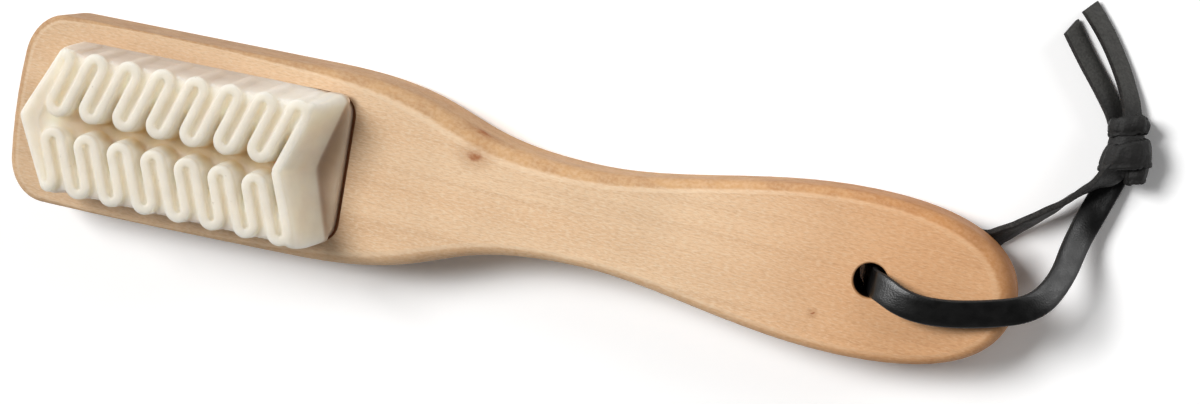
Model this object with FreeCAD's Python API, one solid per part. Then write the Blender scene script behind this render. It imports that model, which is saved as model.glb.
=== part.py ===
import FreeCAD, Part
import math
import os

from FreeCAD import Vector

# Suede brush: a beech board with a crepe rubber pad let into its head and a leather lace in its tail.
# Millimetres. X runs from the head to the tail, Z up. The brush lies on its back, pad side up, and the
# origin is on the surface it lies on, under the middle of the board.

# Board: plan of the head, neck and tail
length = 200.0
head_width = 37.2
head_corner_radius = 8.0
head_end_bulge = 0.5
head_side_length = 61.5  # straight side, from the head's end to where the shoulder starts
neck_from_head = 116.7
neck_width = 18.2
tail_width = 30.7
tail_widest_from_tip = 30.3
far_head_extra = 0.4  # the board is sawn a little fuller on its far side
far_neck_extra = 0.5
far_tail_extra = 0.6

# Board: how far along the next stretch each place keeps its curve straight, as a share of that stretch
shoulder_pull = 0.562
neck_pull_to_head = 0.534
neck_pull_to_tail = 0.313
tail_pull_to_neck = 0.392
tail_pull_to_tip = 0.891
tip_pull = 0.326

# Board: thickness and edges
head_thickness = 15.0
handle_thickness = 12.0  # the back is hollowed from the neck to the tail, so the lace passes under it
hollow_start_from_head = 95.0
hollow_end_from_head = 150.0
hollow_reach = 24.0
back_edge_radius = 2.5
head_end_edge_radius = 2.2
head_edge_radius = 1.0
shoulder_edge_radius = 2.9
neck_edge_radius = 2.0
tail_edge_radius = 2.0
tip_edge_radius = 4.2
far_shoulder_edge_radius = 3.3  # the far edge is sanded rounder than the near one
far_neck_edge_radius = 3.1
far_tail_edge_radius = 2.7

# Hole for the lace
hole_diameter = 6.5
hole_from_tip = 27.0
hole_rim_radius = 0.5

# Pocket for the pad, the glue in it, and the pad's fit
pocket_length = 64.2
pocket_width = 29.4
pocket_point = 5.2  # how far the end under the end block comes to a blunt point
pocket_depth = 3.0
pocket_from_head = 5.8
pocket_corner_radius = 4.2
pad_end_clearance = 0.8
pad_side_clearance = 0.4
glue_thickness = 0.4
glue_below_top = 1.0

# Crepe pad: a plinth, a low solid core, and one rib that winds up one side and down the other
plinth_above_board = 1.8
pad_height = 13.0  # above the board's face
slot_depth = 8.2
rib_wall = 1.8
rib_pitch = 7.0
rib_slant = 21.0  # degrees from straight across
rib_side_inset = 0.5  # from the plinth's long side to the rib's outer bends
groove_width = 2.1
first_bend_from_plinth_end = 8.3
end_room = 5.0  # at the plinth's other end, for the end wall's foot and the ledge beyond it
end_block_inset = 1.0
end_block_slant = 27.0  # degrees, its outer edge from straight across
end_wall_spread = 3.2

# Lace: one flat strip through the hole, tied in one knot, and swung towards the far side
lace_width = 5.2
lace_thickness = 1.3
knot_length = 13.0
knot_width = 10.4
knot_height = 9.2
knot_from_hole = Vector(40.9, 32.3, 4.7)
knot_lean = 3.0  # degrees, the knot's axis away from straight across the brush
knot_profile = [  # place along the knot, and the share of its full section there
    (-0.5, 0.62),
    (-0.42, 0.9),
    (-0.2, 1.0),
    (0.0, 0.9),
    (0.2, 0.96),
    (0.42, 0.8),
    (0.5, 0.5),
]

# How routes bend, and how close an edge has to be to a place to be picked there
bend_share = 0.45  # of the shorter run beside a bend, taken up by its arc
near = 0.01
circle_pull = 0.55  # share of the radius at which a curve's pole makes a near circle

head_x = -length / 2
tip_x = length / 2
hole_x = tip_x - hole_from_tip
back_of_handle = head_thickness - handle_thickness
pocket_left = head_x + pocket_from_head
pocket_right = pocket_left + pocket_length
plinth_left = pocket_left + pad_end_clearance
plinth_right = pocket_right - pad_end_clearance
plinth_width = pocket_width - 2 * pad_side_clearance
plinth_corner_radius = pocket_corner_radius - pad_side_clearance
pocket_floor = head_thickness - pocket_depth
plinth_floor = pocket_floor + glue_thickness
plinth_top = head_thickness + plinth_above_board
rib_top = head_thickness + pad_height
slot_floor = rib_top - slot_depth
rib_step = rib_pitch / 2 * math.cos(math.radians(rib_slant))  # between neighbouring legs
rib_room = plinth_right - plinth_left - first_bend_from_plinth_end - end_room
bend_count = int(rib_room / rib_pitch)

# The strip's route out of the hole, over the board, into the knot and on to its cut end
over_route = [
    (hole_x, 0, 12.2),
    (hole_x, 0, 15.4),
    (hole_x + 2.0, -1.1, 17.9),
    (hole_x + 6.6, -2.4, 18.1),
    (hole_x + 13.6, -2.8, 17.2),
    (hole_x + 22.2, -1.5, 16.5),
    (hole_x + 31.4, 2.4, 14.9),
    (hole_x + 34.5, 9.0, 11.2),
    (hole_x + 36.2, 16.1, 5.8),
    (hole_x + 38.8, 22.0, 2.7),
    (hole_x + 40.2, 27.8, 2.2),
    (hole_x + 40.3, 33.9, 2.4),
    (hole_x + 37.4, 40.2, 2.8),
    (hole_x + 32.2, 46.6, 3.0),
    (hole_x + 26.9, 52.6, 2.8),
]

# The strip's route out of the hole's lower end, under the board, into the knot and on to its other cut end
under_route = [
    (hole_x, 0, 6.2),
    (hole_x, 0, 3.6),
    (hole_x + 1.6, 0.8, 1.6),
    (hole_x + 5.8, 2.7, 1.1),
    (hole_x + 12.6, 6.1, 1.0),
    (hole_x + 20.2, 10.6, 1.3),
    (hole_x + 27.3, 16.4, 3.7),
    (hole_x + 33.0, 21.1, 7.2),
    (hole_x + 37.9, 25.3, 8.6),
    (hole_x + 41.0, 29.8, 8.1),
    (hole_x + 41.5, 35.2, 7.4),
    (hole_x + 40.0, 41.0, 6.6),
    (hole_x + 34.8, 48.9, 5.5),
    (hole_x + 29.4, 56.2, 4.8),
]


def bezier(*points):
    """A smooth edge pulled by its inner points, on the floor plane."""
    curve = Part.BezierCurve()
    curve.setPoles([Vector(x, y, 0) for x, y in points])
    return curve.toShape()


def line(a, b):
    return Part.makeLine(Vector(*a, 0), Vector(*b, 0))


def prism(wire, bottom, top):
    """A straight solid on a flat closed wire, between two heights."""
    face = Part.Face(wire)
    face.translate(Vector(0, 0, bottom))
    return face.extrude(Vector(0, 0, top - bottom))


def mirrored(shape):
    """The same shape on the other side of the brush's long axis."""
    return shape.mirror(Vector(0, 0, 0), Vector(0, 1, 0))


def chevron(points):
    """A closed flat wire through half-plan points, repeated on the other side of the long axis."""
    half = [Vector(x, y, 0) for x, y in points]
    other = [Vector(p.x, -p.y, 0) for p in reversed(half) if p.y > 0]
    return Part.makePolygon([*half, *other, half[0]])


def pad_plan(left, right, width, radius):
    """A closed wire with a blunt point at its left end, square at its right end, and round at each corner."""
    corners = chevron([(left, 0), (left + pocket_point, width / 2), (right, width / 2)])
    block = prism(corners, 0, radius)
    upright = [e for e in block.Edges if e.BoundBox.ZLength > near]
    block = block.makeFillet(radius, upright)
    floor = min(block.Faces, key=lambda f: f.CenterOfMass.z)
    return floor.OuterWire


def board_side(head, neck, tail):
    """One side of the board's plan, from the head's end to the tip, given half the width at each place."""
    end_x = head_x + head_end_bulge
    shoulder_x = head_x + head_side_length
    neck_x = head_x + neck_from_head
    widest_x = tip_x - tail_widest_from_tip
    waist = neck_x - shoulder_x
    swell = widest_x - neck_x
    corner = head_width / 2 - head_corner_radius
    leaving = 2 * math.atan(head_end_bulge / corner)
    reach = circle_pull * head_corner_radius
    return [
        bezier(
            (end_x, corner),
            (end_x + reach * math.sin(leaving), corner + reach * math.cos(leaving)),
            (end_x + head_corner_radius - reach, head),
            (end_x + head_corner_radius, head),
        ),
        line((end_x + head_corner_radius, head), (shoulder_x, head)),
        bezier(
            (shoulder_x, head),
            (shoulder_x + shoulder_pull * waist, head),
            (neck_x - neck_pull_to_head * waist, neck),
            (neck_x, neck),
        ),
        bezier(
            (neck_x, neck),
            (neck_x + neck_pull_to_tail * swell, neck),
            (widest_x - tail_pull_to_neck * swell, tail),
            (widest_x, tail),
        ),
        bezier(
            (widest_x, tail),
            (widest_x + tail_pull_to_tip * tail_widest_from_tip, tail),
            (tip_x, tip_pull * tail),
            (tip_x, 0),
        ),
    ]


def board_outline():
    """The board's plan: its bulging head end, then both sides round to the tip."""
    corner = head_width / 2 - head_corner_radius
    end_x = head_x + head_end_bulge
    end = Part.Arc(Vector(end_x, -corner, 0), Vector(head_x, 0, 0), Vector(end_x, corner, 0)).toShape()
    head, neck, tail = head_width / 2, neck_width / 2, tail_width / 2
    far_side = board_side(head + far_head_extra, neck + far_neck_extra, tail + far_tail_extra)
    near_side = [mirrored(e) for e in board_side(head, neck, tail)]
    return Part.Wire(Part.sortEdges([end, *far_side, *near_side])[0])


def pocket_outline():
    return pad_plan(pocket_left, pocket_right, pocket_width, pocket_corner_radius)


def plinth_outline():
    return pad_plan(plinth_left, plinth_right, plinth_width, plinth_corner_radius)


def back_hollow():
    """What the hollowed back takes away: the space under the neck and the tail."""
    start = head_x + hollow_start_from_head
    end = head_x + hollow_end_from_head
    past = tip_x + length
    reach = hollow_reach
    curve = Part.BezierCurve()
    curve.setPoles(
        [
            Vector(start, -length, 0),
            Vector(start + reach, -length, 0),
            Vector(end - reach, -length, back_of_handle),
            Vector(end, -length, back_of_handle),
        ]
    )
    rest = Part.makePolygon(
        [
            Vector(end, -length, back_of_handle),
            Vector(past, -length, back_of_handle),
            Vector(past, -length, 0),
            Vector(start, -length, 0),
        ]
    )
    profile = Part.Wire([curve.toShape(), *rest.Edges])
    return Part.Face(profile).extrude(Vector(0, 2 * length, 0))


def edge_radius(x, far):
    """The round on one side of the board's upper edge, which is fullest at the shoulder and the tip."""
    stations = [
        (head_x, head_end_edge_radius),
        (head_x + head_corner_radius, head_edge_radius),
        (head_x + head_side_length, far_shoulder_edge_radius if far else shoulder_edge_radius),
        (head_x + neck_from_head, far_neck_edge_radius if far else neck_edge_radius),
        (tip_x - tail_widest_from_tip, far_tail_edge_radius if far else tail_edge_radius),
        (tip_x, tip_edge_radius),
    ]
    return min(stations, key=lambda s: abs(s[0] - x))[1]


def rounded_board(board):
    """The board with its upper edge rounded by place and its back edge rounded evenly."""
    document = FreeCAD.newDocument("brush")
    sharp = document.addObject("Part::Feature", "sharp_board")
    sharp.Shape = board
    rounded = document.addObject("Part::Fillet", "rounded_board")
    rounded.Base = sharp
    edges = []
    for index, edge in enumerate(board.Edges, 1):
        box = edge.BoundBox
        first, last = edge.Vertexes[0].X, edge.Vertexes[-1].X
        on_back = box.ZMax < back_of_handle + near
        spans_board = box.YMin < -near and box.YMax > near
        crosses_back = spans_board and box.XMax > head_x + head_end_bulge + near
        far = box.YMin + box.YMax > near
        if box.ZMin > head_thickness - near:
            edges.append((index, edge_radius(first, far), edge_radius(last, far)))
        elif on_back and not crosses_back:
            edges.append((index, back_edge_radius, back_edge_radius))
    rounded.Edges = edges
    document.recompute()
    return rounded.Shape


def make_handle():
    board = prism(board_outline(), 0, head_thickness).cut(back_hollow())
    board = rounded_board(board)
    hole_radius = hole_diameter / 2
    hole = Part.makeCylinder(hole_radius, head_thickness, Vector(hole_x, 0, 0))
    board = board.cut(prism(pocket_outline(), pocket_floor, rib_top)).cut(hole)
    circles = [e for e in board.Edges if isinstance(e.Curve, Part.Circle)]
    rims = [e for e in circles if abs(e.Curve.Radius - hole_radius) < near]
    return board.makeFillet(hole_rim_radius, rims)


def make_glue():
    """The glue that beds the pad: a thin floor with a rim that fills the gap round the plinth."""
    bed = prism(pocket_outline(), pocket_floor, head_thickness - glue_below_top)
    return bed.cut(prism(plinth_outline(), plinth_floor, plinth_top))


def rib_path():
    """The winding rib of one long side, from the end block to the middle of the end wall."""
    slant = math.radians(rib_slant)
    along = Vector(math.sin(slant), math.cos(slant), 0)
    across = Vector(math.cos(slant), -math.sin(slant), 0)
    outer_radius = (rib_step + rib_wall) / 2
    inner_y = groove_width / 2 + outer_radius
    outer_y = plinth_width / 2 - rib_side_inset - outer_radius
    out_run = (outer_y - inner_y + rib_step * math.sin(slant)) / math.cos(slant)
    back_run = (outer_y - inner_y - rib_step * math.sin(slant)) / math.cos(slant)
    half_step = across * (rib_step / 2)
    bend_rise = along * (rib_step / 2)
    inner = Vector(plinth_left + first_bend_from_plinth_end, inner_y, 0)
    edges = [Part.makeLine(inner - half_step + along * back_run, inner - half_step)]
    for _ in range(bend_count):
        outer = inner + across * rib_step + along * out_run
        next_inner = outer + across * rib_step - along * back_run
        edges.append(Part.Arc(inner - half_step, inner - bend_rise, inner + half_step).toShape())
        edges.append(Part.makeLine(inner + half_step, outer - half_step))
        edges.append(Part.Arc(outer - half_step, outer + bend_rise, outer + half_step).toShape())
        inner = next_inner
        edges.append(Part.makeLine(outer + half_step, inner - half_step))
    middle = inner - half_step - along * ((inner - half_step).y / along.y)
    edges[-1] = Part.makeLine(outer + half_step, middle)
    return Part.Wire(edges), middle


def make_pad():
    """The crepe pad: plinth, solid core, winding ribs, and the two chevron ends."""
    path, middle = rib_path()
    rib_face = path.makeOffset2D(rib_wall / 2, 0, True, False)
    rib_face.translate(Vector(0, 0, slot_floor))
    rib = rib_face.extrude(Vector(0, 0, rib_top - slot_floor))
    slope = math.tan(math.radians(rib_slant))
    side = plinth_width / 2 - rib_side_inset
    lean = side * slope
    half_wall = rib_wall / 2 / math.cos(math.radians(rib_slant))
    block_left = plinth_left + end_block_inset
    block_lean = side * math.tan(math.radians(end_block_slant))
    first_leg = path.Edges[0].valueAt(0)
    block_right = first_leg.x - first_leg.y * slope
    block = chevron(
        [(block_left, 0), (block_left + block_lean, side), (block_right + lean, side), (block_right, 0)]
    )
    wall_left = middle.x - half_wall
    wall_right = middle.x + half_wall
    wall_foot = wall_right + end_wall_spread
    foot_side = min(wall_foot + lean, plinth_right)
    wall_base = chevron([(wall_left, 0), (wall_left + lean, side), (foot_side, side), (wall_foot, 0)])
    wall_top = chevron(
        [(wall_left, 0), (wall_left + lean, side), (wall_right + lean, side), (wall_right, 0)]
    )
    wall_base.translate(Vector(0, 0, plinth_top))
    wall_top.translate(Vector(0, 0, rib_top))
    wall = Part.makeLoft([wall_base, wall_top], True, True)
    core = chevron([(block_left, 0), (block_left + block_lean, side), (wall_left + lean, side), (wall_left, 0)])
    pieces = [
        prism(core, plinth_top, slot_floor),
        prism(block, slot_floor, rib_top),
        wall,
        rib,
        mirrored(rib),
    ]
    plinth = prism(plinth_outline(), plinth_floor, plinth_top)
    return plinth.fuse(pieces).removeSplitter()


def cord_path(route):
    """Straight runs joined by tangent arcs, each arc as large as its two runs allow."""
    points = [Vector(*p) for p in route]
    edges = []
    radii = []
    start = points[0]
    for before, here, after in zip(points, points[1:], points[2:]):
        back = (before - here).normalize()
        on = (after - here).normalize()
        turn = math.pi - back.getAngle(on)
        setback = bend_share * min((before - here).Length, (after - here).Length)
        radius = setback / math.tan(turn / 2)
        radii.append(round(radius, 1))
        arc_start = here + back * setback
        arc_end = here + on * setback
        bisector = (back + on).normalize()
        to_centre = math.hypot(radius, setback)
        arc_middle = here + bisector * (to_centre - radius)
        edges.append(Part.makeLine(start, arc_start))
        edges.append(Part.Arc(arc_start, arc_middle, arc_end).toShape())
        start = arc_end
    edges.append(Part.makeLine(start, points[-1]))
    return Part.Wire(edges), radii


def lace_section(route):
    """The strip's flat section where a route starts, square to the way it leaves the hole."""
    start, rim, beyond = [Vector(*p) for p in route[:3]]
    leaving = Vector(beyond.x - rim.x, beyond.y - rim.y, 0).normalize()
    across = Vector(0, 0, 1).cross(leaving) * (lace_width / 2)
    through = leaving * (lace_thickness / 2)
    corners = [start - across - through, start + across - through]
    corners += [start + across + through, start - across + through]
    return Part.makePolygon([*corners, corners[0]])


def make_strand(name, route):
    """A flat strip along a route that starts straight up or down in the hole."""
    path, radii = cord_path(route)
    strand = path.makePipeShell([lace_section(route)], True, False)
    expected = lace_width * lace_thickness * path.Length
    share = round(strand.Volume / expected, 3)
    print(name, "radii", radii, "length", round(path.Length, 1), "share of the expected volume", share)
    return strand


def make_lace_in_hole():
    """The strip's stretch inside the hole, where it twists from one way out to the other."""
    return Part.makeLoft([lace_section(under_route), lace_section(over_route)], True, True)


def make_knot():
    """The tied knot as one closed solid: two wraps with a waist between them."""
    wires = []
    for place, share in knot_profile:
        ring = Part.Ellipse(Vector(0, 0, 0), knot_width / 2 * share, knot_height / 2 * share).toShape()
        ring = Part.Wire([ring])
        ring.translate(Vector(0, 0, place * knot_length))
        wires.append(ring)
    knot = Part.makeLoft(wires, True, False)
    knot.rotate(Vector(0, 0, 0), Vector(1, 0, 0), -90)
    knot.rotate(Vector(0, 0, 0), Vector(0, 0, 1), knot_lean)
    knot.translate(Vector(hole_x, 0, 0) + knot_from_hole)
    return knot


os.makedirs("parts", exist_ok=True)
nodes = {
    "handle": make_handle(),
    "glue_bed": make_glue(),
    "crepe_pad": make_pad(),
    "lace_over": make_strand("lace_over", over_route),
    "lace_under": make_strand("lace_under", under_route),
    "lace_in_hole": make_lace_in_hole(),
    "lace_knot": make_knot(),
}
for name, shape in nodes.items():
    print(name, shape.isValid(), len(shape.Solids), round(shape.Volume, 1))
    shape.exportStep(f"parts/{name}.step")
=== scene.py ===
import math
import bmesh
import bpy
from mathutils import Matrix, Vector, noise


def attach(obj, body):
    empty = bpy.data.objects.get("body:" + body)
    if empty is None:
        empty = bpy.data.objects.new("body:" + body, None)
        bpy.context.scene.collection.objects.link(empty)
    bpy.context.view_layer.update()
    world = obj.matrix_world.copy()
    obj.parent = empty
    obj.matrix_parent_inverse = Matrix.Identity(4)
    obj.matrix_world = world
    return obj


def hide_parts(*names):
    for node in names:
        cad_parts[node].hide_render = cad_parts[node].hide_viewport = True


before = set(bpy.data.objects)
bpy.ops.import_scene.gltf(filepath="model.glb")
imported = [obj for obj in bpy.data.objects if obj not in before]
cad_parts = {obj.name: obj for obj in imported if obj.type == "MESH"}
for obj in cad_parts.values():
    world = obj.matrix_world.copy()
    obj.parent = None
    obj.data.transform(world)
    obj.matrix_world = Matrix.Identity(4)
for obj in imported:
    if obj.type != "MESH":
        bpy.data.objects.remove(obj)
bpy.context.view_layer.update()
scene = bpy.context.scene
scene.view_settings.view_transform = "Standard"


# Camera. A long lens looks down on the brush from over its tail and a little from the far side.
# The camera is turned so that the brush runs across the picture and falls slightly to the right.
camera_place = Vector((0.1100, 0.0768, 0.4946))
camera_aim = Vector((0.0200, 0.0042, 0.0150))
camera_turn = math.radians(10.19)

camera_data = bpy.data.cameras.new("camera")
camera_data.sensor_width = 36
camera_data.lens = 78.087
camera_data.clip_start = 0.01
camera = bpy.data.objects.new("camera", camera_data)
scene.collection.objects.link(camera)
forward = (camera_aim - camera_place).normalized()
right = forward.cross(Vector((-math.sin(camera_turn), math.cos(camera_turn), 0))).normalized()
camera_axes = Matrix((right, right.cross(forward), -forward)).transposed().to_4x4()
camera.matrix_world = Matrix.Translation(camera_place) @ camera_axes
scene.camera = camera


# Handle. One flat beech board, sawn to a broad head, a narrow neck and a pear-shaped tail, sanded round
# at its edges and waxed. A pocket for the pad is milled in its head, and a hole is bored in its tail.
MM = 0.001


def paint(red, green, blue):
    """A colour as read off a colour card, 0 to 255, in the light values that a finish needs."""
    shares = [channel / 255 for channel in (red, green, blue)]
    return (*[s / 12.92 if s <= 0.04045 else ((s + 0.055) / 1.055) ** 2.4 for s in shares], 1)


def step(tree, kind, sources=None, **settings):
    """One node of a finish, with its settings and the values or sockets that feed it."""
    node = tree.nodes.new(kind)
    for name, value in settings.items():
        setattr(node, name, value)
    for name, source in (sources or {}).items():
        if isinstance(source, bpy.types.NodeSocket):
            tree.links.new(source, node.inputs[name])
        else:
            node.inputs[name].default_value = source
    return node


def reckon(tree, operation, *values):
    """One sum on values or sockets."""
    return step(tree, "ShaderNodeMath", dict(enumerate(values)), operation=operation).outputs[0]


def place_sum(tree, operation, place, other):
    """One sum on places, each a set of three values or a socket."""
    return step(tree, "ShaderNodeVectorMath", {0: place, 1: other}, operation=operation).outputs[0]


def distance(tree, place, centre, stretch):
    """How far a place is from a centre, with each direction stretched by its own factor."""
    off = place_sum(tree, "MULTIPLY", place_sum(tree, "SUBTRACT", place, centre), stretch)
    return step(tree, "ShaderNodeVectorMath", {0: off}, operation="LENGTH").outputs["Value"]


def tinted(tree, share, under, over, way="MIX"):
    """One colour laid over another, by a share that changes over the surface."""
    mix = step(tree, "ShaderNodeMix", {0: share, 6: under, 7: over}, data_type="RGBA", blend_type=way)
    return mix.outputs[2]


def between(tree, value, low, high, to_low=0.0, to_high=1.0):
    """A value carried smoothly from one range to another."""
    sources = {"Value": value, "From Min": low, "From Max": high, "To Min": to_low, "To Max": to_high}
    ramp = step(tree, "ShaderNodeMapRange", sources, interpolation_type="SMOOTHSTEP")
    return ramp.outputs["Result"]


def start_finish(name):
    """A new finish, with the place on the object that its patterns follow."""
    finish = bpy.data.materials.new(name)
    finish.use_nodes = True
    tree = finish.node_tree
    place = step(tree, "ShaderNodeTexCoord").outputs["Object"]
    return finish, tree, place, tree.nodes["Principled BSDF"]


def make_grain_group():
    """Marks drawn out along the board: soft noise, stretched by its own count per metre each way."""
    tree = bpy.data.node_groups.new("drawn_out_marks", "ShaderNodeTree")
    sockets = tree.interface
    sockets.new_socket("Place", in_out="INPUT", socket_type="NodeSocketVector")
    sockets.new_socket("Per Metre", in_out="INPUT", socket_type="NodeSocketVector")
    sockets.new_socket("Low", in_out="INPUT", socket_type="NodeSocketFloat")
    sockets.new_socket("High", in_out="INPUT", socket_type="NodeSocketFloat")
    sockets.new_socket("Mark", in_out="OUTPUT", socket_type="NodeSocketFloat")
    given = step(tree, "NodeGroupInput").outputs
    spread = place_sum(tree, "MULTIPLY", given["Place"], given["Per Metre"])
    cloud = step(tree, "ShaderNodeTexNoise", {"Vector": spread, "Scale": 1.0, "Detail": 3.0})
    mark = between(tree, cloud.outputs["Fac"], given["Low"], given["High"])
    step(tree, "NodeGroupOutput", {"Mark": mark})
    return tree


def make_mottle_group():
    """Uneven depth of colour: a factor around 1, from cloudy patches of a given count per metre."""
    tree = bpy.data.node_groups.new("uneven_colour", "ShaderNodeTree")
    sockets = tree.interface
    sockets.new_socket("Place", in_out="INPUT", socket_type="NodeSocketVector")
    sockets.new_socket("Per Metre", in_out="INPUT", socket_type="NodeSocketFloat")
    sockets.new_socket("Depth", in_out="INPUT", socket_type="NodeSocketFloat")
    sockets.new_socket("Shade", in_out="OUTPUT", socket_type="NodeSocketFloat")
    given = step(tree, "NodeGroupInput").outputs
    sources = {"Vector": given["Place"], "Scale": given["Per Metre"], "Detail": 4.0}
    cloud = step(tree, "ShaderNodeTexNoise", sources).outputs["Fac"]
    swing = between(tree, cloud, 0.3, 0.7, -1.0, 1.0)
    shade = reckon(tree, "ADD", reckon(tree, "MULTIPLY", swing, given["Depth"]), 1.0)
    step(tree, "NodeGroupOutput", {"Shade": shade})
    return tree


def marks(tree, place, per_metre, low, high):
    """The drawn-out marks in one finish, from none at the low value of their noise to full at the high."""
    sources = {"Place": place, "Per Metre": per_metre, "Low": low, "High": high}
    return step(tree, "ShaderNodeGroup", sources, node_tree=grain_group).outputs["Mark"]


def mottle(tree, place, per_metre, depth):
    """The uneven colour in one finish."""
    sources = {"Place": place, "Per Metre": per_metre, "Depth": depth}
    return step(tree, "ShaderNodeGroup", sources, node_tree=mottle_group).outputs["Shade"]


grain_group = make_grain_group()
mottle_group = make_mottle_group()

pale_beech = paint(240, 206, 168)
deep_beech = paint(231, 192, 152)
head_painted_shade = (0.8, 0.8, 0.8, 1)
pore_brown = paint(176, 130, 90)
light_fleck = paint(242, 217, 185)
edge_beech = paint(206, 157, 104)
edge_brown = paint(164, 112, 68)
hole_painted_shade = paint(24, 14, 8)
knot_brown = paint(158, 86, 38)
wood_knots = [
    (Vector((-0.00535, 0.00801, 0.0150)), 0.0015),
    (Vector((-0.00531, 0.01245, 0.0120)), 0.0015),
    (Vector((0.06359, -0.00828, 0.0150)), 0.0005),
]
knot_fray = 0.0022
grain_turn = math.radians(2.0)
hole = Vector((0.073, 0, 0))

beech, tree, place, shader = start_finish("waxed_beech")
# The grain runs nearly straight down the board: broad growth rings, thin streaks, short flecks.
turned = step(tree, "ShaderNodeMapping", {"Vector": place, "Rotation": (0.0, 0.0, grain_turn)})
along = turned.outputs["Vector"]
elsewhere = place_sum(tree, "ADD", along, (0.3, 0.2, 0.1))
growth = marks(tree, along, (8.0, 110.0, 150.0), 0.3, 0.7)
streaks = marks(tree, along, (16.0, 620.0, 620.0), 0.5, 0.72)
dark_flecks = marks(tree, along, (800.0, 3400.0, 3000.0), 0.4, 0.72)
light_flecks = marks(tree, elsewhere, (900.0, 2900.0, 3000.0), 0.44, 0.7)
colour = tinted(tree, growth, pale_beech, deep_beech)
colour = tinted(tree, reckon(tree, "MULTIPLY", streaks, 0.16), colour, pore_brown)
colour = tinted(tree, reckon(tree, "MULTIPLY", dark_flecks, 0.26), colour, pore_brown)
colour = tinted(tree, reckon(tree, "MULTIPLY", light_flecks, 0.6), colour, light_fleck)
# Sanding cuts across the grain at the rounded edges, which take more wax and turn browner.
outward = step(tree, "ShaderNodeNewGeometry").outputs["Normal"]
facing = step(tree, "ShaderNodeSeparateXYZ", {0: outward}).outputs
level = reckon(tree, "ABSOLUTE", facing["Z"])
rounded = between(tree, level, 0.985, 0.9)
steep = between(tree, level, 0.8, 0.15)
end_grain = marks(tree, along, (1300.0, 1500.0, 1100.0), 0.34, 0.66)
cloudy = marks(tree, elsewhere, (160.0, 260.0, 260.0), 0.35, 0.65)
edge = tinted(tree, reckon(tree, "MULTIPLY", cloudy, 0.5), edge_beech, edge_brown)
edge = tinted(tree, reckon(tree, "MULTIPLY", end_grain, 0.24), edge, light_fleck)
edge = tinted(tree, reckon(tree, "MULTIPLY", steep, 0.3), edge, edge_brown)
# Edges that face the tail end are painted browner, as shade on the side away from the lamp.
edge = tinted(tree, between(tree, facing["X"], 0.2, 0.8, 0.0, 0.6), edge, edge_brown)
# Rounded edges take the sanded edge colour, and those on the far side take more of it than the near side,
# as painted shade.
edge_share_with_far_shade = between(tree, facing["Y"], -0.15, 0.15, 0.35, 0.75)
colour = tinted(tree, reckon(tree, "MULTIPLY", rounded, edge_share_with_far_shade), colour, edge)
# A pale line is painted along the crease where the flat top starts to round over, as a highlight.
crease_highlight = between(tree, level, 0.9998, 0.996)
crease_highlight = reckon(tree, "MULTIPLY", crease_highlight, between(tree, level, 0.94, 0.985))
colour = tinted(tree, reckon(tree, "MULTIPLY", crease_highlight, 0.3), colour, light_fleck)
# A few small knots, ragged and slightly drawn out along the board.
cloud = step(tree, "ShaderNodeTexNoise", {"Vector": place, "Scale": 700.0, "Detail": 3.0}).outputs["Color"]
fray = place_sum(tree, "SUBTRACT", cloud, (0.5, 0.5, 0.5))
fray = place_sum(tree, "MULTIPLY", fray, (knot_fray, knot_fray, knot_fray))
ragged = place_sum(tree, "ADD", place, fray)
for centre, radius in wood_knots:
    away = distance(tree, ragged, centre, (0.7, 1.0, 1.0))
    colour = tinted(tree, between(tree, away, radius * 2.6, radius, 0.0, 0.25), colour, edge_brown)
    colour = tinted(tree, between(tree, away, radius, radius * 0.2, 0.0, 0.8), colour, knot_brown)
# The whole board is a little uneven and darker towards the tail. The head is painted darker as shade, and
# the inside of the hole is painted dark as shade.
colour = tinted(tree, 1.0, colour, mottle(tree, place, 45.0, 0.04), "MULTIPLY")
spot = step(tree, "ShaderNodeSeparateXYZ", {0: place}).outputs
colour = tinted(tree, between(tree, spot["X"], 0.03, 0.085, 0.0, 0.6), colour, deep_beech, "MULTIPLY")
colour = tinted(tree, between(tree, spot["X"], 0.0, -0.065), colour, head_painted_shade, "MULTIPLY")
bored = between(tree, distance(tree, place, hole, (1.0, 1.0, 0.0)), 0.0036, 0.0034)
bored = reckon(tree, "MULTIPLY", bored, between(tree, spot["Z"], 0.0149, 0.0142))
colour = tinted(tree, bored, colour, hole_painted_shade)
tree.links.new(colour, shader.inputs["Base Color"])
tree.links.new(reckon(tree, "MULTIPLY", mottle(tree, place, 160.0, 0.12), 0.6), shader.inputs["Roughness"])
relief = reckon(tree, "SUBTRACT", light_flecks, reckon(tree, "ADD", dark_flecks, streaks))
bump = step(tree, "ShaderNodeBump", {"Height": relief, "Strength": 0.4, "Distance": 0.00005})
tree.links.new(bump.outputs["Normal"], shader.inputs["Normal"])
shader.inputs["Specular IOR Level"].default_value = 0.15

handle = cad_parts["handle"]
handle.data.materials.clear()
handle.data.materials.append(beech)


# Glue bed. Brown glue, brushed into the pocket before the pad is pressed in. It beds the pad, and what
# squeezes out stands in the gap round the plinth, where it dries dark and slightly uneven.
glue_brown = paint(184, 120, 76)
glue_dark = paint(146, 90, 54)

dried_glue, tree, place, shader = start_finish("dried_glue")
thick = marks(tree, place, (240.0, 240.0, 240.0), 0.35, 0.65)
colour = tinted(tree, thick, glue_brown, glue_dark)
tree.links.new(colour, shader.inputs["Base Color"])
tree.links.new(reckon(tree, "MULTIPLY", mottle(tree, place, 600.0, 0.25), 0.4), shader.inputs["Roughness"])
runs = step(tree, "ShaderNodeTexNoise", {"Vector": place, "Scale": 700.0, "Detail": 2.0}).outputs["Fac"]
bump = step(tree, "ShaderNodeBump", {"Height": runs, "Strength": 0.6, "Distance": 0.0003})
tree.links.new(bump.outputs["Normal"], shader.inputs["Normal"])

glue_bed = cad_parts["glue_bed"]
glue_bed.data.materials.clear()
glue_bed.data.materials.append(dried_glue)


# Crepe pad. Natural crepe rubber, moulded in one piece: a plinth that sits in the glue, and on it one rib
# that winds up each long side, with a groove between the two rows, a flat block at the head and a sloped
# end wall towards the handle. Its edges are rounded by the mould and it lets some light through.

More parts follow.
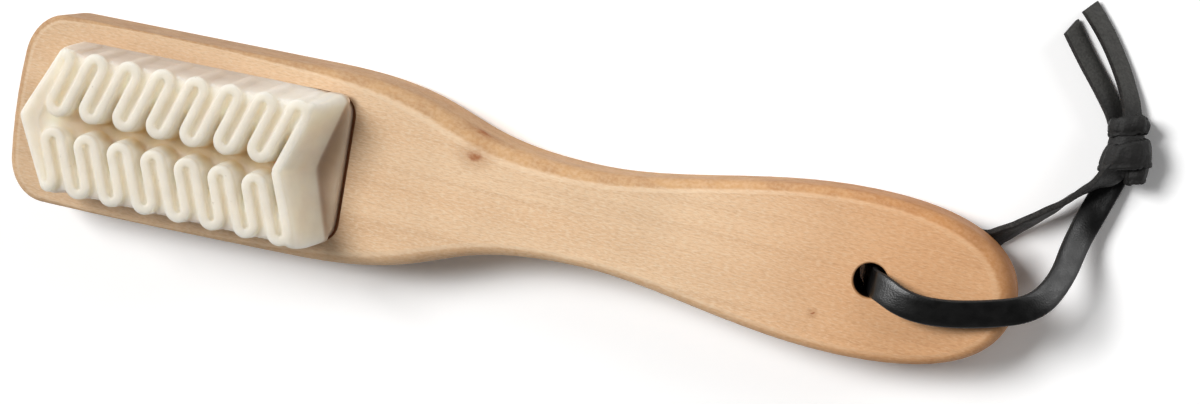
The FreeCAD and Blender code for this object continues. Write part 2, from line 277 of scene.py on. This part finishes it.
# The sizes are in millimetres, and the moulded mesh is brought to metres at the end.
plinth_left = -93.4
plinth_right = -30.8
plinth_side = 14.3
plinth_point = 5.2
plinth_corner = 3.8
plinth_round = 0.8
plinth_squeeze = 0.35
plinth_loose_end = 13.0
plinth_floor = 12.45
plinth_top = 16.8
core_root = 16.0
slot_floor = 21.6
slot_rise = 4.8
fill_root = 17.0
fill_top = 26.6
fill_half_width = 1.6
fill_overlap = 1.5
fill_end = 14.3
rib_top = 28.0
rib_slant = math.radians(21)
rib_pitch = 7.0
rib_half_crest = 0.95
rib_half_foot = 1.45
rib_shoulder = 0.6
rib_flare = slot_floor - 1.5
rib_root = plinth_top - 0.3
rib_side = 13.8
core_side = 13.35
inner_bend = 3.584
outer_bend = 11.266
first_bend = plinth_left + 8.3
bend_count = 7
block_left = plinth_left + 0.2
block_right = plinth_left + 5.17
block_width = 4.9
block_lean = 1.75
wall_middle = plinth_left + 54.17
wall_foot = 4.16
wall_foot_draw = 0.9
wall_corner_draw = 1.6
chevron_steps = 90
chevron_nose = 0.6
chevron_end = 1.1
chevron_batter = 0.05
ramp_length = 14.5
head_shift = (-0.2, 0.05)
wall_shift = (-0.75, -0.9)
far_fullness = 0.035
crest_fullness = 0.022


def clamped(value):
    """A value held between nothing and all."""
    return min(1.0, max(0.0, value))


def eased(share):
    """A share that starts and ends softly."""
    return share * share * (3 - 2 * share)


def loft(mesh, rings, joined=False):
    """Skin over a row of rings with equal counts, capped at both ends unless the row joins up."""
    count = len(rings[0])
    pairs = list(zip(rings, rings[1:]))
    if joined:
        pairs.append((rings[-1], rings[0]))
    for a, b in pairs:
        for i in range(count):
            j = (i + 1) % count
            mesh.faces.new((a[i], a[j], b[j], b[i]))
    if not joined:
        mesh.faces.new(list(reversed(rings[0])))
        mesh.faces.new(rings[-1])


def finished_piece(name, mesh, finish):
    """A mesh made into a smooth named piece with its finish on."""
    bmesh.ops.recalc_face_normals(mesh, faces=mesh.faces)
    data = bpy.data.meshes.new(name)
    mesh.to_mesh(data)
    mesh.free()
    data.materials.append(finish)
    data.shade_smooth()
    piece = bpy.data.objects.new(name, data)
    scene.collection.objects.link(piece)
    return piece


def rib_line(side):
    """The winding rib of one long side, from a bend in the end block to the middle of the end wall."""
    along = Vector((math.sin(rib_slant), math.cos(rib_slant), 0))
    across = Vector((math.cos(rib_slant), -math.sin(rib_slant), 0))
    gap = rib_pitch / 2 * math.cos(rib_slant)
    rise = outer_bend - inner_bend
    out_run = (rise + gap * math.sin(rib_slant)) / math.cos(rib_slant)
    back_run = (rise - gap * math.sin(rib_slant)) / math.cos(rib_slant)
    inner = Vector((first_bend, inner_bend, 0))
    turns = [math.pi * k / 14 for k in range(15)]
    before = inner - across * gap + along * back_run
    points = [before - (across * math.cos(t) - along * math.sin(t)) * gap / 2 for t in turns[6:]]
    for _ in range(bend_count):
        outer = inner + across * gap + along * out_run
        points += [inner - (across * math.cos(t) + along * math.sin(t)) * gap / 2 for t in turns]
        points += [outer - (across * math.cos(t) - along * math.sin(t)) * gap / 2 for t in turns]
        inner = outer + across * gap - along * back_run
    last = inner - across * gap / 2
    points.append(last - along * (last.y / along.y))
    return [Vector((p.x, p.y * side, 0)) for p in points]


def sweep_rib(mesh, side):
    """The rib's section, round on top and wider at its foot, carried along its line."""
    crest = [math.pi * k / 10 for k in range(11)]
    profile = [(-rib_half_foot, rib_root), (-rib_half_foot, rib_flare)]
    for t in crest:
        flat = math.copysign(abs(math.cos(t)) ** 0.5, math.cos(t))
        profile.append((-rib_half_crest * flat, rib_top - rib_shoulder * (1 - abs(math.sin(t)) ** 0.5)))
    profile += [(rib_half_foot, rib_flare), (rib_half_foot, rib_root)]
    line = rib_line(side)
    rings = []
    for i, point in enumerate(line):
        run = (line[min(i + 1, len(line) - 1)] - line[max(i - 1, 0)]).normalized()
        out = Vector((run.y, -run.x, 0))
        rings.append([mesh.verts.new(point + out * s + Vector((0, 0, z))) for s, z in profile])
    loft(mesh, rings)


def add_fills(mesh, side):
    """The shallow floor of each slot that opens to the long side."""
    along = Vector((math.sin(rib_slant), math.cos(rib_slant) * side, 0))
    across = Vector((math.cos(rib_slant), -math.sin(rib_slant) * side, 0)) * fill_half_width
    run = (fill_end - inner_bend) / math.cos(rib_slant)
    for bend in range(bend_count):
        start = Vector((first_bend + bend * rib_pitch, inner_bend * side, 0)) - along * fill_overlap
        rings = []
        for spot in (start, start + along * run):
            left = spot - across
            right = spot + across
            corners = [(left, fill_root), (right, fill_root), (right, fill_top), (left, fill_top)]
            rings.append([mesh.verts.new(corner + Vector((0, 0, z))) for corner, z in corners])
        loft(mesh, rings)


def sweep_chevron(mesh, apex, section, reach=rib_side):
    """A bar right across the pad, set back towards both sides, with its own section at each place."""
    rings = []
    for k in range(chevron_steps + 1):
        y = reach * (2 * k / chevron_steps - 1)
        back = math.tan(rib_slant) * (math.hypot(y, chevron_nose) - chevron_nose)
        past = max(0.0, abs(y) - (reach - chevron_end))
        drop = chevron_end - math.sqrt(max(0.0, chevron_end ** 2 - past * past))
        ring = []
        for x, z in section(abs(y) / rib_side):
            lift = (z - plinth_top) / (rib_top - plinth_top)
            spread = 1 + chevron_batter * (1 - lift)
            ring.append(mesh.verts.new((apex + back + x, y * spread, z - drop * max(0.0, lift))))
        rings.append(ring)
    loft(mesh, rings)


def block_section(out):
    """The end block: a rounded left edge, a flat top that falls a little, and the first rib's side."""
    profile = [(-0.3, core_root), (-0.2, 20.0), (0.0, 25.2), (0.15, 26.3), (0.5, 27.1), (1.1, 27.5),
               (1.9, 27.55), (2.7, 27.4), (3.4, 27.3), (4.0, 27.35), (4.5, 27.4), (block_width, 26.0),
               (5.4, core_root)]
    return [(x + block_lean * out * max(0.0, 1 - x / block_width), z) for x, z in profile]


def wall_section(out):
    """The end wall: a round ridge, and a slope down to its foot."""
    foot = wall_foot - wall_foot_draw * out - wall_corner_draw * max(0.0, out * 10 - 9) ** 2
    ridge = [(-1.1, core_root), (-0.9, 26.8), (-0.75, 27.5), (-0.4, 27.9), (0.0, rib_top), (0.5, 27.85),
             (1.0, 27.35), (1.4, 26.5)]
    slope = [(0.3 * foot + 0.95, 24.0), (0.62 * foot + 0.55, 20.5), (foot, 17.0), (foot + 0.1, core_root)]
    return ridge + slope


def blunted(plan, reach):
    """The points of a plan, with each corner drawn round within its reach."""
    points = []
    for k, corner in enumerate(plan):
        before = corner + (plan[k - 1] - corner).normalized() * reach
        after = corner + (plan[(k + 1) % len(plan)] - corner).normalized() * reach
        for t in (0.0, 0.2, 0.4, 0.6, 0.8, 1.0):
            points.append(before.lerp(corner, t).lerp(corner.lerp(after, t), t))
    return points


def add_plinth(mesh):
    """The plinth: a slab with a blunt point and a rounded upper edge, pressed against the pocket."""
    rings = []
    rounding = [math.pi / 2 * k / 6 for k in range(7)]
    levels = [(plinth_floor, 0.0)]
    for t in rounding:
        levels.append((plinth_top - plinth_round * (1 - math.sin(t)), plinth_round * (1 - math.cos(t))))
    for z, inset in levels:
        tip = plinth_left - plinth_squeeze + inset
        end = plinth_right - inset
        pressed = plinth_side + plinth_squeeze - inset
        free = plinth_side - inset
        loose = plinth_right - plinth_loose_end
        plan = [(end, free), (loose, pressed), (tip + plinth_point, pressed), (tip, 0),
                (tip + plinth_point, -pressed), (loose, -pressed), (end, -free)]
        points = blunted([Vector((x, y, z)) for x, y in plan], plinth_corner - inset)
        rings.append([mesh.verts.new(point) for point in points])
    loft(mesh, rings)


def add_ramp(mesh):
    """The fall of the middle groove, from the end block's top down to the floor of the slots."""
    rings = []
    for k in range(13):
        share = k / 12
        x = block_right - 1.5 + ramp_length * share
        top = slot_floor - 0.3 + (rib_top - slot_floor - 0.4) * (1 - eased(share))
        profile = [(-3, fill_root), (3, fill_root), (3, top), (0, top - 0.2), (-3, top)]
        rings.append([mesh.verts.new((x, y, z)) for y, z in profile])
    loft(mesh, rings)


def core_section(out):
    """The solid core under the ribs, up to the floor of their slots, which rises at both long sides."""
    floor = slot_floor + slot_rise * eased(clamped((out - 0.15) / 0.5))
    left = 0.3 + block_lean * out
    right = wall_middle - block_left
    return [(left, core_root), (left, floor), (right, floor), (right, core_root)]


crepe_cream = paint(233, 222, 203)
crepe_low = paint(250, 243, 231)
crepe_groove_shade = paint(220, 197, 156)
crepe_dust = paint(120, 96, 70)
crepe_wall_shade = paint(212, 194, 176)
crepe_slope_painted_light = paint(247, 233, 213)
crepe_ledge_shade = paint(206, 180, 154)
crepe_block_shade = (0.905, 0.905, 0.92, 1)

crepe, tree, place, shader = start_finish("natural_crepe")
spot = step(tree, "ShaderNodeSeparateXYZ", {0: place}).outputs
aside = reckon(tree, "ABSOLUTE", spot["Y"])
# Light comes through the thin ribs, so the slots between them look paler than the crests.
depth = between(tree, spot["Z"], 0.0274, 0.0262)
colour = tinted(tree, reckon(tree, "MULTIPLY", depth, 0.8), crepe_cream, crepe_low)
# The middle groove is painted darker as shade, more so deeper down, from the end block to the end wall.
groove = between(tree, spot["Z"], 0.0265, 0.0210)
groove = reckon(tree, "MULTIPLY", groove, between(tree, aside, 0.0038, 0.0012))
groove = reckon(tree, "MULTIPLY", groove, between(tree, spot["X"], -0.0405, -0.0425))
groove = reckon(tree, "MULTIPLY", groove, between(tree, spot["X"], -0.0905, -0.0885))
colour = tinted(tree, groove, colour, crepe_groove_shade)
# The long walls are painted greyer as shade, less so towards the end wall.
outside = reckon(tree, "MULTIPLY", depth, between(tree, aside, 0.0118, 0.0140))
outside = reckon(tree, "MULTIPLY", outside, between(tree, spot["X"], -0.038, -0.056, 0.25, 1.0))
colour = tinted(tree, outside, colour, crepe_wall_shade)
# The end wall's slope is painted paler as light, and the ledge at its foot and the end block are painted
# darker as shade.
set_back = reckon(tree, "MULTIPLY", aside, math.tan(rib_slant))
past_ridge = reckon(tree, "SUBTRACT", spot["X"], set_back)
colour = tinted(tree, between(tree, past_ridge, -0.0399, -0.0391), colour, crepe_slope_painted_light)
ledge = between(tree, spot["Z"], 0.0180, 0.0170)
ledge = reckon(tree, "MULTIPLY", ledge, between(tree, spot["X"], -0.0385, -0.0365))
colour = tinted(tree, ledge, colour, crepe_ledge_shade)
colour = tinted(tree, between(tree, spot["X"], -0.0865, -0.0895), colour, crepe_block_shade, "MULTIPLY")
dust = marks(tree, place, (700.0, 700.0, 700.0), 0.72, 0.8)
colour = tinted(tree, reckon(tree, "MULTIPLY", dust, 0.25), colour, crepe_dust)
colour = tinted(tree, 1.0, colour, mottle(tree, place, 260.0, 0.035), "MULTIPLY")
tree.links.new(colour, shader.inputs["Base Color"])
tree.links.new(reckon(tree, "MULTIPLY", mottle(tree, place, 500.0, 0.15), 0.55), shader.inputs["Roughness"])
skin = step(tree, "ShaderNodeTexNoise", {"Vector": place, "Scale": 2600.0, "Detail": 3.0}).outputs["Fac"]
bump = step(tree, "ShaderNodeBump", {"Height": skin, "Strength": 0.3, "Distance": 0.00008})
tree.links.new(bump.outputs["Normal"], shader.inputs["Normal"])
shader.inputs["Subsurface Weight"].default_value = 1.0
shader.inputs["Subsurface Radius"].default_value = (1.0, 0.95, 0.85)
shader.inputs["Subsurface Scale"].default_value = 0.008
shader.inputs["Specular IOR Level"].default_value = 0.25

mesh = bmesh.new()
add_plinth(mesh)
sweep_chevron(mesh, block_left, core_section, core_side)
sweep_chevron(mesh, block_left, block_section)
sweep_chevron(mesh, wall_middle, wall_section)
for side in (1, -1):
    sweep_rib(mesh, side)
    add_fills(mesh, side)
add_ramp(mesh)
crepe_pad = finished_piece("crepe_pad_moulded", mesh, crepe)
fuse = crepe_pad.modifiers.new("fuse", "REMESH")
fuse.mode = "VOXEL"
fuse.voxel_size = 0.26
soften = crepe_pad.modifiers.new("soften", "SMOOTH")
soften.factor = 0.5
soften.iterations = 3
thin = crepe_pad.modifiers.new("thin", "DECIMATE")
thin.ratio = 0.35
moulded = bpy.data.meshes.new_from_object(crepe_pad.evaluated_get(bpy.context.evaluated_depsgraph_get()))
crepe_pad.modifiers.clear()
crepe_pad.data = moulded
# The rows lie a little askew on the plinth, and the far side came out of the mould slightly fuller.
for vertex in moulded.vertices:
    rise = clamped((vertex.co.z - plinth_top) / (slot_floor - plinth_top))
    share = (vertex.co.x - plinth_left) / (wall_middle - plinth_left)
    vertex.co.x += (head_shift[0] + wall_shift[0] * share) * rise
    vertex.co.y += (head_shift[1] + wall_shift[1] * share) * rise
    fuller = far_fullness * clamped((vertex.co.z - 15.2) / 1.6)
    fuller += crest_fullness * clamped((vertex.co.z - 26.5) / 0.8) * clamped(share * 12 - 1)
    vertex.co.y += max(0.0, vertex.co.y) * fuller
moulded.transform(Matrix.Scale(MM, 4))
moulded.shade_smooth()
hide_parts("crepe_pad")
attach(crepe_pad, "brush")


# Lace. One flat strip of black leather, cut from a hide, so one face is smooth grain, the other is rough
# flesh and its edges are raw. It goes through the hole, and both ends are tied together in one knot.
lace_thickness = 1.2 * MM
lace_corner = lace_thickness * 0.22

leather_black = paint(9, 9, 9)
leather_worn = paint(20, 19, 18)
leather_raw = paint(44, 41, 38)
leather_flesh_knot_shade = paint(24, 23, 22)
leather_flesh_tails = paint(66, 65, 62)

leather, tree, place, shader = start_finish("black_leather")
worn = marks(tree, place, (420.0, 420.0, 420.0), 0.5, 0.75)
colour = tinted(tree, reckon(tree, "MULTIPLY", worn, 0.4), leather_black, leather_worn)
fibre = marks(tree, place, (5200.0, 5200.0, 5200.0), 0.64, 0.74)
colour = tinted(tree, reckon(tree, "MULTIPLY", fibre, 0.15), colour, leather_raw)
tree.links.new(colour, shader.inputs["Base Color"])
tree.links.new(reckon(tree, "MULTIPLY", mottle(tree, place, 500.0, 0.15), 0.37), shader.inputs["Roughness"])
pores = step(tree, "ShaderNodeTexVoronoi", {"Vector": place, "Scale": 3200.0}).outputs["Distance"]
bump = step(tree, "ShaderNodeBump", {"Height": pores, "Strength": 0.35, "Distance": 0.00006})
tree.links.new(bump.outputs["Normal"], shader.inputs["Normal"])
shader.inputs["Specular IOR Level"].default_value = 0.5

raw_edge, tree, place, shader = start_finish("raw_leather_edge")
fibre = marks(tree, place, (2600.0, 2600.0, 2600.0), 0.4, 0.7)
tree.links.new(tinted(tree, fibre, leather_worn, leather_raw), shader.inputs["Base Color"])
tree.links.new(reckon(tree, "MULTIPLY", mottle(tree, place, 800.0, 0.1), 0.8), shader.inputs["Roughness"])
bump = step(tree, "ShaderNodeBump", {"Height": fibre, "Strength": 0.5, "Distance": 0.00008})
tree.links.new(bump.outputs["Normal"], shader.inputs["Normal"])

flesh_side, tree, place, shader = start_finish("leather_flesh_side")
fibre = marks(tree, place, (2100.0, 2100.0, 2100.0), 0.35, 0.7)
spot = step(tree, "ShaderNodeSeparateXYZ", {0: place}).outputs
# The flesh side is painted darker where the strips are tied in the knot, as shade among its wraps, and
# paler on the loose tails.
colour = tinted(tree, between(tree, spot["Y"], 0.037, 0.045), leather_flesh_knot_shade, leather_flesh_tails)
colour = tinted(tree, reckon(tree, "MULTIPLY", fibre, 0.35), colour, leather_black)
tree.links.new(colour, shader.inputs["Base Color"])
tree.links.new(reckon(tree, "MULTIPLY", mottle(tree, place, 700.0, 0.1), 0.62), shader.inputs["Roughness"])
bump = step(tree, "ShaderNodeBump", {"Height": fibre, "Strength": 0.4, "Distance": 0.0001})
tree.links.new(bump.outputs["Normal"], shader.inputs["Normal"])
shader.inputs["Specular IOR Level"].default_value = 0.35


def smooth_line(name, route):
    """Points along the smooth line that a limp strip takes through its route."""
    curve = bpy.data.curves.new(name, "CURVE")
    curve.dimensions = "3D"
    spline = curve.splines.new("NURBS")
    spline.points.add(len(route) - 1)
    for point, (spot, *_) in zip(spline.points, route):
        point.co = (*(hole + Vector(spot) * MM), 1)
    spline.order_u = 3
    spline.use_endpoint_u = True
    spline.resolution_u = 10
    guide = bpy.data.objects.new(name, curve)
    data = bpy.data.meshes.new_from_object(guide)
    points = [v.co.copy() for v in data.vertices]
    bpy.data.objects.remove(guide)
    bpy.data.curves.remove(curve)
    bpy.data.meshes.remove(data)
    return points


def laid_along(route, points):
    """How far the strip is twisted from lying flat, and how broad it is, at each point of its line."""
    spots = [hole + Vector(spot) * MM for spot, *_ in route]
    reached = [0.0]
    for a, b in zip(spots, spots[1:]):
        reached.append(reached[-1] + (b - a).length)
    gone = [0.0]
    for a, b in zip(points, points[1:]):
        gone.append(gone[-1] + (b - a).length)
    laid = []
    for here in gone:
        here *= reached[-1] / gone[-1]
        k = next(i for i in range(1, len(reached)) if here <= reached[i] + 1e-9)
        share = eased((here - reached[k - 1]) / (reached[k] - reached[k - 1]))
        laid.append([route[k - 1][n] * (1 - share) + route[k][n] * share for n in (1, 2)])
    return laid


def strip_section(breadth):
    """The strip's section: flat faces with worn corners between its two raw edges."""
    half = breadth / 2
    deep = lace_thickness / 2
    worn = lace_corner
    face = [(half - worn, deep), (half * 0.5, deep * 1.03), (0, deep * 1.04), (-half * 0.5, deep * 1.03),
            (-half + worn, deep)]
    edge = [(-half + worn * 0.3, deep - worn * 0.3), (-half, deep - worn), (-half, -deep + worn),
            (-half + worn * 0.3, -deep + worn * 0.3)]
    return face + edge + [(-s, -d) for s, d in face + edge]


def make_strip(name, route, grain_share, cut):
    """A flat strip along its route, twisted as it lies: grain for a share of it, then flesh side."""
    line = smooth_line(name, route)
    laid = laid_along(route, line)
    mesh = bmesh.new()
    rings = []
    across = Vector((0, 1, 0))
    for i, point in enumerate(line):
        run = (line[min(i + 1, len(line) - 1)] - line[max(i - 1, 0)]).normalized()
        level = Vector((-run.y, run.x, 0))
        if level.length > 0.3:
            across = level.normalized()
        across = (across - run * across.dot(run)).normalized()
        face = run.cross(across)
        lean = math.radians(laid[i][0])
        wide = across * math.cos(lean) + face * math.sin(lean)
        thick = run.cross(wide)
        section = strip_section(laid[i][1] * MM)
        slanted = run * (cut if i == len(line) - 1 else 0.0)
        rings.append([mesh.verts.new(point + (wide - slanted) * s + thick * d) for s, d in section])
    loft(mesh, rings)
    piece = finished_piece(name, mesh, leather)
    piece.data.materials.append(raw_edge)
    piece.data.materials.append(flesh_side)
    count = len(rings[0])
    for k, face in enumerate(piece.data.polygons):
        cut_end = k >= (len(rings) - 1) * count
        long_edge = 4 < k % count % (count // 2) < 8
        if cut_end or long_edge:
            face.material_index = 1
        elif k > grain_share * len(rings) * count:
            face.material_index = 2
    return piece, line


# Each place on a route: millimetres from the hole, the strip's twist in degrees, its breadth there.
over_route = [
    ((-0.4, -0.3, 9.2), 0, 5.0), ((0.3, -0.4, 12.4), 0, 5.2), ((0.9, -0.4, 15.6), 0, 5.2),
    ((2.2, -0.5, 17.3), 2, 5.2), ((7.2, -2.5, 19.3), 6, 5.2), ((13.6, -2.9, 18.9), 10, 5.2),
    ((22.2, -1.5, 17.0), 10, 5.2), ((30.6, 1.0, 15.2), 4, 5.0), ((34.2, 6.4, 10.6), 15, 4.8),
    ((35.5, 13.6, 4.7), 22, 5.2), ((38.1, 21.4, 2.4), -6, 5.2), ((40.2, 27.8, 2.2), 0, 5.2),
    ((40.4, 33.9, 2.4), 10, 4.6), ((37.3, 38.8, 2.1), 34, 3.9), ((33.9, 43.1, 2.0), 38, 3.9),
    ((30.0, 47.8, 2.0), 38, 3.9), ((26.6, 52.5, 2.0), 38, 4.0),
]
under_route = [
    ((-0.4, -0.3, 9.0), 0, 5.0), ((-1.1, -0.1, 6.2), 0, 4.6), ((-1.9, 0.1, 3.2), 0, 4.0),
    ((-1.9, 0.4, 1.1), 0, 4.6), ((3.0, 1.4, 0.9), 0, 5.2), ((6.4, 2.9, 1.0), 0, 5.2),
    ((12.6, 6.1, 1.0), 0, 5.2), ((18.0, 9.2, 1.5), 14, 5.2), ((20.9, 11.3, 2.9), 56, 5.2),
    ((24.8, 14.3, 3.8), 68, 5.2), ((29.0, 17.8, 4.8), 75, 5.2),
    ((32.6, 21.2, 5.8), 88, 5.2), ((36.0, 24.3, 6.4), 78, 5.2), ((39.6, 27.4, 6.4), 40, 5.0),
    ((41.8, 32.0, 5.6), 26, 4.6), ((41.0, 38.6, 3.0), 36, 3.8), ((38.7, 43.9, 2.2), 40, 3.7),
    ((35.6, 49.0, 2.0), 40, 3.7), ((32.3, 53.5, 2.0), 40, 3.8), ((29.2, 56.8, 2.0), 38, 3.9),
]
lace_over, over_line = make_strip("lace_strip_over", over_route, grain_share=0.7, cut=0.35)
lace_under, under_line = make_strip("lace_strip_under", under_route, grain_share=0.3, cut=0.05)
for strip in (lace_over, lace_under):
    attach(strip, "lace")
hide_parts("lace_over", "lace_in_hole")
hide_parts("lace_under")


# Knot. Both strips of the lace are tied in one overhand knot and pulled tight: two flat wraps lie side by
# side round it, with dark gaps between them, and the last fold bulges out below.
knot_middle = hole + Vector((40.9, 32.3, 4.7)) * MM
knot_turn = math.radians(3)
knot_core = (3.5, 5.6, 2.4, 1)
wrap_steps = 96


def add_wrap(mesh, middle, half_width, half_height, upper, lower, flare, droop, seed):
    """One flat wrap round the knot: a band between two slanting edges, pulled tight and creased."""
    profile = [(0.0, -1.2), (0.0, -0.35), (0.04, -0.08), (0.12, 0.0), (0.2, -0.1), (0.28, 0.05),
               (0.5, 0.12), (0.74, 0.1), (0.88, 0.0), (0.96, -0.08), (1.0, -0.35), (1.0, -1.2)]
    rings = []
    for k in range(wrap_steps):
        t = 2 * math.pi * k / wrap_steps
        out = Vector((math.cos(t), 0, math.sin(t)))
        wide = math.copysign(abs(out.x) ** 0.75, out.x)
        high = math.copysign(abs(out.z) ** 0.75, out.z)
        ring = []
        for share, lift in profile:
            fold = 0.3 * noise.noise(Vector((3.2 * out.x + seed, 1.6 * share, 3.2 * out.z)))
            fray = 0.28 + 0.3 * max(0.0, out.x)
            fray *= noise.noise(Vector((6.0 * out.x, seed, 6.0 * out.z + 4 * share)))
            x = wide * half_width * (1 + flare * (1 - 2 * share))
            low = lower[0] + lower[1] * x
            high_edge = upper[0] + upper[1] * x - droop * max(0.0, x - 1.2) ** 2
            spot = middle + Vector((x, low + (high_edge - low) * share + fray, high * half_height))
            ring.append(mesh.verts.new(spot + out * (lift + fold)))
        rings.append(ring)
    loft(mesh, rings, joined=True)


mesh = bmesh.new()
add_wrap(mesh, Vector((0.0, 0, -0.6)), half_width=3.7, half_height=2.8, upper=(6.3, 0.26),
         lower=(2.5, 0.22), flare=0.0, droop=0.3, seed=0.7)
add_wrap(mesh, Vector((0.3, 0, 0.1)), half_width=4.4, half_height=3.6, upper=(1.5, 0.3),
         lower=(-3.6, 0.2), flare=0.13, droop=0.05, seed=5.3)
add_wrap(mesh, Vector((2.5, 0, -0.4)), half_width=2.0, half_height=2.5, upper=(-2.6, 0.25),
         lower=(-6.2, 0.2), flare=0.0, droop=0.0, seed=9.1)
bmesh.ops.create_icosphere(mesh, subdivisions=4, radius=1.0, matrix=Matrix.Diagonal(knot_core))
lace_knot = finished_piece("lace_knot_tied", mesh, flesh_side)
turned = Matrix.Rotation(knot_turn, 4, "Z") @ Matrix.Scale(MM, 4)
lace_knot.data.transform(Matrix.Translation(knot_middle) @ turned)
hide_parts("lace_knot")
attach(lace_knot, "lace")


# Floor. A plain white table top that runs out of the picture, so only the brush's own shadow marks it.
# It is as white as its light to everything but the picture, where it is lifted to the white background.
floor_white = (0.88, 0.88, 0.88, 1)
floor_in_picture = (1.12, 1.12, 1.12, 1)


def in_picture(tree):
    """1 for what the picture or a gloss in it shows, 0 for what only passes light on."""
    path = step(tree, "ShaderNodeLightPath").outputs
    seen = reckon(tree, "MAXIMUM", path["Is Glossy Ray"], path["Is Transmission Ray"])
    return reckon(tree, "MAXIMUM", path["Is Camera Ray"], seen)


table, tree, place, shader = start_finish("white_table")
shader.inputs["Base Color"].default_value = floor_white
shader.inputs["Roughness"].default_value = 0.9
shader.inputs["Specular IOR Level"].default_value = 0.1
lifted = step(tree, "ShaderNodeBsdfDiffuse", {"Color": floor_in_picture}).outputs[0]
both = step(tree, "ShaderNodeMixShader", {0: in_picture(tree), 1: shader.outputs[0], 2: lifted})
tree.links.new(both.outputs[0], tree.nodes["Material Output"].inputs["Surface"])

mesh = bmesh.new()
bmesh.ops.create_grid(mesh, x_segments=8, y_segments=8, size=3.0)
floor = finished_piece("table_top", mesh, table)


# Light. A large soft lamp on the left and a little behind makes the shadows, a weaker one on the right
# fills them, and the white room round the table does the rest. The ceiling over the table is darker.
room_light = 0.13


def add_lamp(name, direction, reach, size, power):
    """A square soft lamp that looks at the middle of the table."""
    lamp = bpy.data.lights.new(name, "AREA")
    lamp.shape = "SQUARE"
    lamp.size = size
    lamp.energy = power
    holder = bpy.data.objects.new(name, lamp)
    way = Vector(direction).normalized()
    holder.location = way * reach
    holder.rotation_euler = way.to_track_quat("Z", "Y").to_euler()
    scene.collection.objects.link(holder)


add_lamp("key_lamp", (-0.55, 0.25, 0.80), reach=4.0, size=1.6, power=153.0)
add_lamp("fill_lamp", (0.7, 0.6, 0.4), reach=2.2, size=0.9, power=13.0)

room = bpy.data.worlds.new("white_room")
room.use_nodes = True
tree = room.node_tree
direction = step(tree, "ShaderNodeTexCoord").outputs["Generated"]
height = step(tree, "ShaderNodeSeparateXYZ", {0: direction}).outputs["Z"]
wall = between(tree, height, 0.15, 0.6, 1.0, 0.05)
seen = in_picture(tree)
shown = reckon(tree, "MULTIPLY", wall, seen)
given = between(tree, seen, 0.0, 1.0, room_light, 0.0)
tree.links.new(reckon(tree, "ADD", shown, given), tree.nodes["Background"].inputs["Strength"])
tree.nodes["Background"].inputs["Color"].default_value = (1, 1, 1, 1)
scene.world = room
